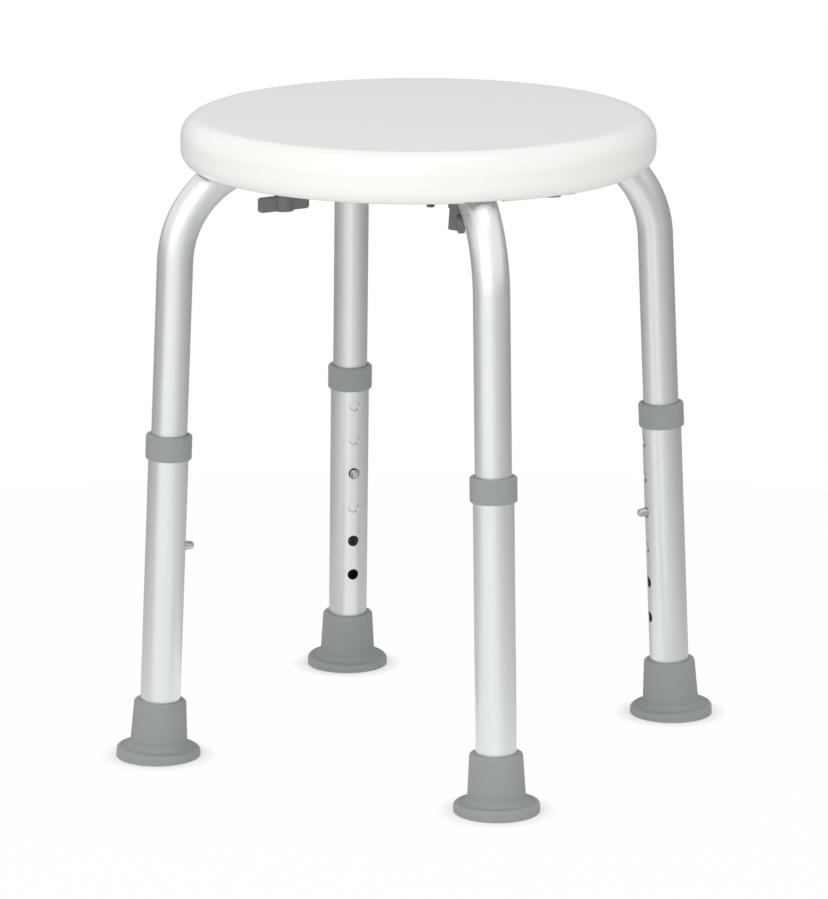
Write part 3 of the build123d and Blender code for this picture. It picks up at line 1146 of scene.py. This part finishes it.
def screen_mesh(segments=72):
    """A low bowl round the stool that rises to a wall, highest at the back, and is open in front."""
    work = bmesh.new()
    rings = []
    for step in range(segments + 1):
        turn = radians(SCREEN_OPENING / 2 + (360.0 - SCREEN_OPENING) * step / segments)
        angle = radians(SCREEN_FRONT) + turn
        wall_radius, wall_height = SCREEN_WALL
        wall_top = (wall_radius, wall_height + SCREEN_WALL_RISE * max(0.0, -cos(turn)))
        section = (*SCREEN_BOWL, wall_top)
        rings.append([work.verts.new((r * cos(angle), r * sin(angle), z)) for r, z in section])
    for first, second in zip(rings, rings[1:]):
        for step in range(len(first) - 1):
            work.faces.new((first[step], second[step], second[step + 1], first[step + 1]))
    return mesh_from_bmesh("screen", work)


def add_screen(side):
    """Grey screen that is seen in reflections only."""
    screen = mesh_object("screen", screen_mesh())
    screen.data.materials.append(screen_material(side))
    screen.visible_camera = False
    screen.visible_diffuse = False
    screen.visible_transmission = False
    screen.visible_shadow = False


def add_camera():
    """Camera at the photograph's viewing angle."""
    data = bpy.data.cameras.new("camera")
    data.sensor_width = SENSOR_WIDTH
    data.lens = CAMERA_LENS
    camera = bpy.data.objects.new("camera", data)
    bpy.context.scene.collection.objects.link(camera)
    camera.location = CAMERA_PLACE
    turn = radians(CAMERA_HEADING) - radians(CAMERA_YAW)
    camera.rotation_euler = (pi / 2 - radians(CAMERA_PITCH), 0.0, turn)
    bpy.context.scene.camera = camera


class STOOL_OT_stage(bpy.types.Operator):
    """Floor, lamps, screen, white room and camera"""

    bl_idname = "stool.stage"
    bl_label = "Stage"

    def execute(self, context):
        stage = settings("stool_stage")
        reach = stage.floor_radius
        turns = [2 * pi * step / FLOOR_SEGMENTS for step in range(FLOOR_SEGMENTS)]
        edge = [(reach * cos(turn), reach * sin(turn), FLOOR_HEIGHT) for turn in turns]
        mesh = bpy.data.meshes.new("floor")
        mesh.from_pydata(edge, [], [range(FLOOR_SEGMENTS)])
        floor = mesh_object("floor", mesh)
        floor.data.materials.append(floor_material(stage.floor_colour))
        add_lamp("front_lamp", stage.front_power)
        fill = add_lamp("fill_lamp", stage.fill_power)
        fill.visible_glossy = False
        add_lamp("top_lamp", stage.top_power)
        add_screen(stage.screen_side)
        white_room(stage.ambient)
        add_camera()
        context.scene.view_settings.view_transform = "Standard"
        return {"FINISHED"}


class STOOL_PT_sidebar(bpy.types.Panel):
    """Lists the stool's operators and settings"""

    bl_idname = "STOOL_PT_sidebar"
    bl_label = "Round shower stool"
    bl_space_type = "VIEW_3D"
    bl_region_type = "UI"
    bl_category = "Stool"

    def draw(self, context):
        for group in SETTINGS:
            held = getattr(context.scene, group)
            for key in held.bl_rna.properties.keys():
                if key not in ("rna_type", "name"):
                    self.layout.prop(held, key)
        for operator in OPERATORS:
            self.layout.operator(operator.bl_idname)


SETTINGS = {
    "stool_tubes": StoolTubes,
    "stool_hardware": StoolHardware,
    "stool_finishes": StoolFinishes,
    "stool_stage": StoolStage,
}
OPERATORS = (
    STOOL_OT_seat,
    STOOL_OT_upper_tubes,
    STOOL_OT_lower_tubes,
    STOOL_OT_collars,
    STOOL_OT_feet,
    STOOL_OT_snap_clips,
    STOOL_OT_studs,
    STOOL_OT_wing_nuts,
    STOOL_OT_stage,
)


def register():
    for name, group in SETTINGS.items():
        bpy.utils.register_class(group)
        setattr(bpy.types.Scene, name, PointerProperty(type=group))
    for operator in OPERATORS:
        bpy.utils.register_class(operator)
    bpy.utils.register_class(STOOL_PT_sidebar)


def unregister():
    bpy.utils.unregister_class(STOOL_PT_sidebar)
    for operator in reversed(OPERATORS):
        bpy.utils.unregister_class(operator)
    for name, group in reversed(SETTINGS.items()):
        delattr(bpy.types.Scene, name)
        bpy.utils.unregister_class(group)


def main():
    register()
    bpy.ops.stool.seat()
    bpy.ops.stool.upper_tubes()
    bpy.ops.stool.lower_tubes()
    bpy.ops.stool.collars()
    bpy.ops.stool.feet()
    bpy.ops.stool.snap_clips()
    bpy.ops.stool.studs()
    bpy.ops.stool.wing_nuts()
    bpy.ops.stool.stage()


if __name__ == "__main__":
    main()
